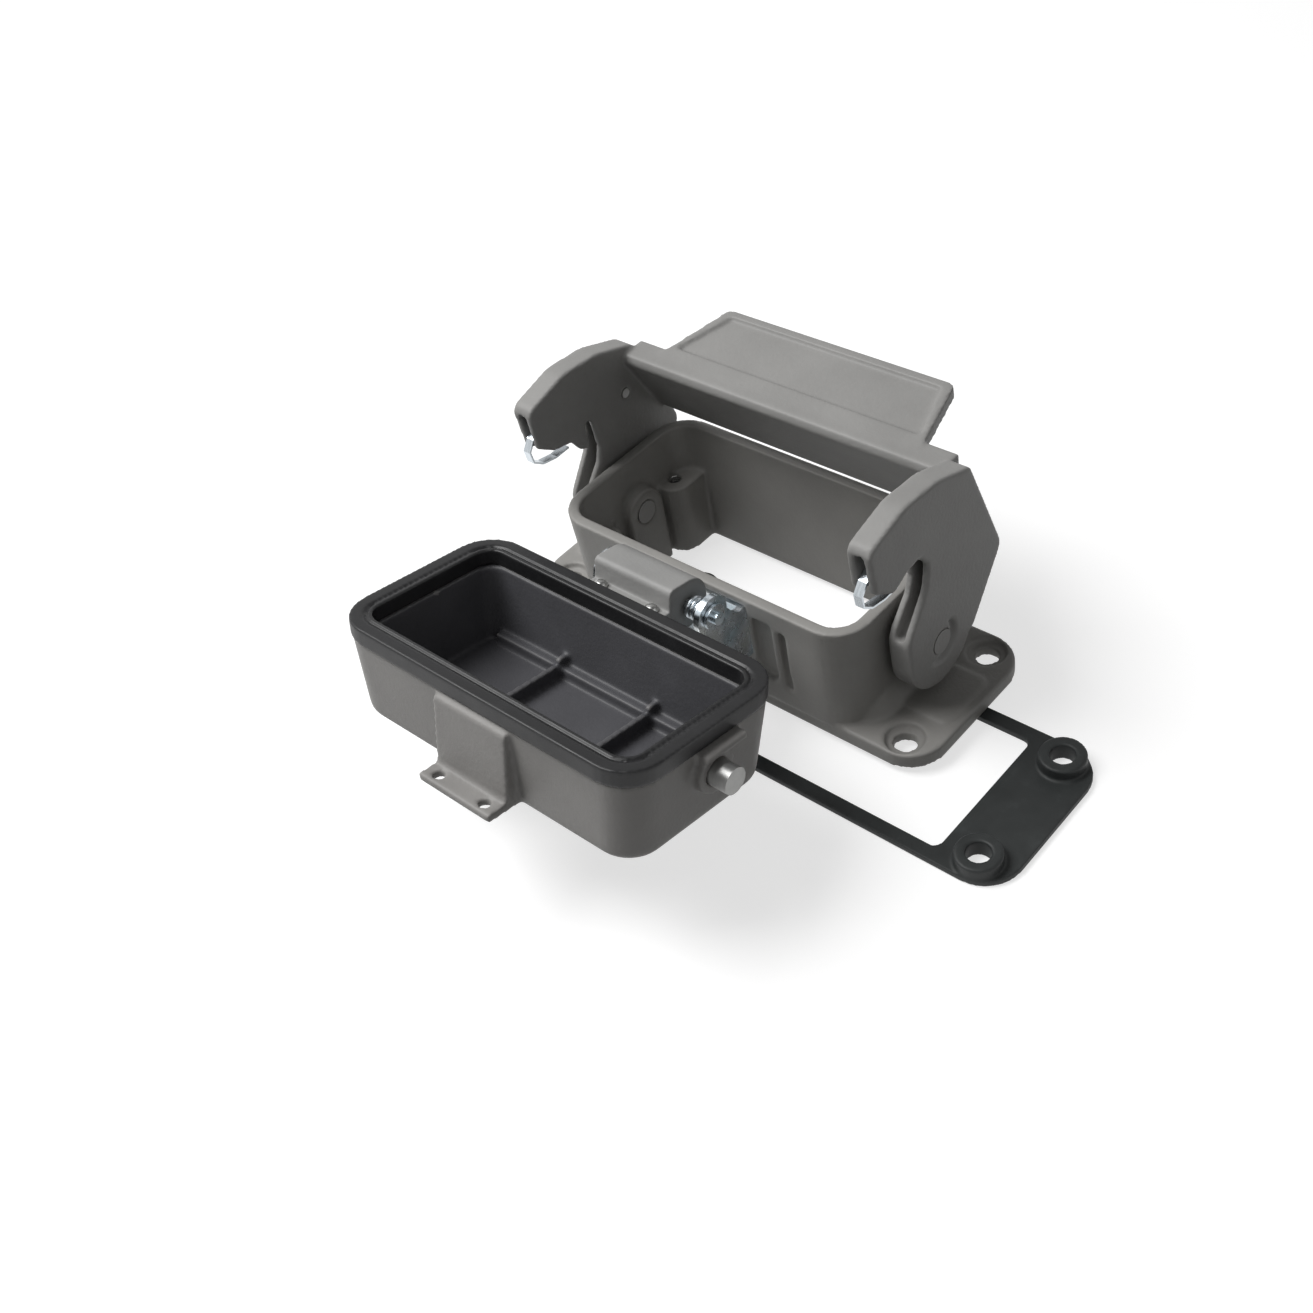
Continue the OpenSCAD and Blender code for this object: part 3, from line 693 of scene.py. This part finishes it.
class CONNECTOR_OT_pivots(bpy.types.Operator):
    """Finishes the lever's pivots, washers, springs and pins, and the cover's pegs"""
    bl_idname = "connector.pivots"
    bl_label = "Pivots, springs and pegs"

    def execute(self, context):
        coats = context.scene.connector_coats
        metals = context.scene.connector_metals
        pins = turned_steel("pin_steel", metals.steel)
        coat = powder_coat("pivot_coat", coats.lever, coats.peel)
        dull = turned_steel("peg_steel", shade(metals.steel, 0.6), 0.42)
        plates = turned_steel("washer_steel", shade(metals.steel, 1.2), 0.3)
        strip = turned_steel("strip_steel", metals.wire, 0.28)
        for side in ("left", "right"):
            dress_node("lever_pivot_" + side, coat)
            dress_node("pivot_washer_" + side, plates)
            dress_node("lever_spring_" + side, strip)
            dress_node("lever_spring_pin_" + side, pins)
            dress_node("cover_peg_" + side, dull)
        return {"FINISHED"}


class CONNECTOR_OT_hinge(bpy.types.Operator):
    """Finishes the hinge: bracket, pin, clip and block"""
    bl_idname = "connector.hinge"
    bl_label = "Hinge"

    def execute(self, context):
        coats = context.scene.connector_coats
        metals = context.scene.connector_metals
        zinc = zinc_plate("zinc_plate", metals.zinc)
        dress_node("hinge_bracket", zinc)
        block = eased_copy("hinge_block", "hinge_block_casting",
                           coats.grain * BLOCK_GRAIN_SHARE, BLOCK_PASSES)
        paint(block, powder_coat("block_coat", coats.block, coats.peel))
        settle(block, "hinge_block")
        dress_node("hinge_pin", zinc)
        dress_node("hinge_pin_clip", turned_steel("clip_steel", metals.wire, 0.25))
        return {"FINISHED"}


class CONNECTOR_OT_spring(bpy.types.Operator):
    """Winds the hinge spring round its pin"""
    bl_idname = "connector.spring"
    bl_label = "Hinge spring"

    def execute(self, context):
        metals = context.scene.connector_metals
        wire = turned_steel("coil_wire", metals.wire, 0.25)
        low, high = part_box("hinge_spring")
        radius = metals.spring_wire / 2
        pin = JOINT_AT["cover_swing"]
        first, last = low.x + radius, high.x - radius
        leg_y = high.y - radius
        points = [(first, leg_y, low.z + radius), (first, leg_y, pin.z - COIL_LEG)]
        for step in range(round(COIL_STEPS * COIL_TURNS) + 1):
            angle = COIL_START - 2 * math.pi * step / COIL_STEPS
            along = step / (COIL_STEPS * COIL_TURNS)
            points.append((first + (last - first) * along,
                           pin.y + COIL_RADIUS * math.cos(angle),
                           pin.z + COIL_RADIUS * math.sin(angle)))
        settle(wire_piece("hinge_spring_wire", points, radius, COIL_SIDES, wire), "hinge_spring")
        return {"FINISHED"}


class CONNECTOR_OT_rivets(bpy.types.Operator):
    """Makes the rivets with domed heads"""
    bl_idname = "connector.rivets"
    bl_label = "Rivets"

    def execute(self, context):
        metals = context.scene.connector_metals
        steel = turned_steel("rivet_steel", shade(metals.steel, 1.15), 0.3)
        levels = {
            "block_rivets": Matrix.Rotation(COVER_TILT, 4, "X"),
            "bracket_rivets": Matrix.Rotation(math.radians(-90.0), 4, "X"),
        }
        for node, (shank, head, head_height) in RIVETS.items():
            places, height = rivet_places(node, levels[node])
            model = turned_piece(node + "_model", rivet_profile(shank, head, head_height, height))
            settle(repeated_piece(node + "_domed", model, places, steel), node)
        return {"FINISHED"}


class CONNECTOR_OT_threads(bpy.types.Operator):
    """Winds the ridges of the threads in the four insert holes"""
    bl_idname = "connector.threads"
    bl_label = "Insert threads"

    def execute(self, context):
        metals = context.scene.connector_metals
        bare = turned_steel("bare_thread", metals.steel, 0.3)
        mount = next(m for m in RECORD["mounts"] if m["name"] == "insert_screws")
        dims = mount["dims"]
        radius = dims["hole_r_mm"] * MM
        helix = []
        for step in range(THREAD_TURNS * THREAD_STEPS):
            angle = 2 * math.pi * step / THREAD_STEPS
            helix.append((radius * math.cos(angle), radius * math.sin(angle),
                          -THREAD_PITCH * (THREAD_START + step / THREAD_STEPS)))
        model = wire_piece("thread_model", helix, THREAD_RIDGE, THREAD_SIDES, bare)
        half_x, half_y = dims["spacing_x_mm"] * MM / 2, dims["spacing_y_mm"] * MM / 2
        mouth = mount["pos_m"][2]
        places = [((side_x * half_x, side_y * half_y, mouth), (0.0, 0.0, 1.0))
                  for side_x in SIDES for side_y in SIDES]
        threads = repeated_piece("insert_threads", model, places, bare)
        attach(threads, BODY_OF["housing"])
        return {"FINISHED"}


class CONNECTOR_OT_stage(bpy.types.Operator):
    """Makes the floor, the lights and the camera"""
    bl_idname = "connector.stage"
    bl_label = "Stage"

    def execute(self, context):
        settings = context.scene.connector_stage
        low, _ = CAD_BOX
        make_floor(low[2] - PAPER_GAP, settings.floor)
        make_air(settings.air)
        soft_light("key_light", KEY_AT, KEY_SIZE, settings.key)
        soft_light("fill_light", FILL_AT, FILL_SIZE, settings.fill)
        make_camera(settings.lens)
        context.scene.view_settings.view_transform = "Standard"
        return {"FINISHED"}


# ---- Panel ----

class CONNECTOR_PT_parts(bpy.types.Panel):
    """Lists the sizes, colours and pieces"""
    bl_idname = "CONNECTOR_PT_parts"
    bl_label = "Connector housing"
    bl_space_type = "VIEW_3D"
    bl_region_type = "UI"
    bl_category = "Connector"

    def draw(self, context):
        scene = context.scene
        for group in (scene.connector_coats, scene.connector_metals,
                      scene.connector_rubbers, scene.connector_stage):
            box = self.layout.box()
            for prop in group.bl_rna.properties:
                if prop.identifier not in ("rna_type", "name"):
                    box.prop(group, prop.identifier)
        for operator in OPERATORS:
            self.layout.operator(operator.bl_idname)


OPERATORS = (
    CONNECTOR_OT_stage,
    CONNECTOR_OT_housing,
    CONNECTOR_OT_lever,
    CONNECTOR_OT_cover,
    CONNECTOR_OT_rubbers,
    CONNECTOR_OT_pivots,
    CONNECTOR_OT_hinge,
    CONNECTOR_OT_spring,
    CONNECTOR_OT_rivets,
    CONNECTOR_OT_threads,
)
SETTINGS = {
    "connector_coats": CoatSettings,
    "connector_metals": MetalSettings,
    "connector_rubbers": RubberSettings,
    "connector_stage": StageSettings,
}


def register():
    """Makes the settings, operators and panel known to Blender."""
    for name, group in SETTINGS.items():
        bpy.utils.register_class(group)
        setattr(bpy.types.Scene, name, PointerProperty(type=group))
    for cls in (*OPERATORS, CONNECTOR_PT_parts):
        bpy.utils.register_class(cls)


def unregister():
    """Takes them out again."""
    for cls in (CONNECTOR_PT_parts, *reversed(OPERATORS)):
        bpy.utils.unregister_class(cls)
    for name, group in reversed(list(SETTINGS.items())):
        delattr(bpy.types.Scene, name)
        bpy.utils.unregister_class(group)


def main():
    """Builds the whole scene."""
    register()
    for operator in OPERATORS:
        group, name = operator.bl_idname.split(".")
        getattr(getattr(bpy.ops, group), name)()


if __name__ == "__main__":
    main()
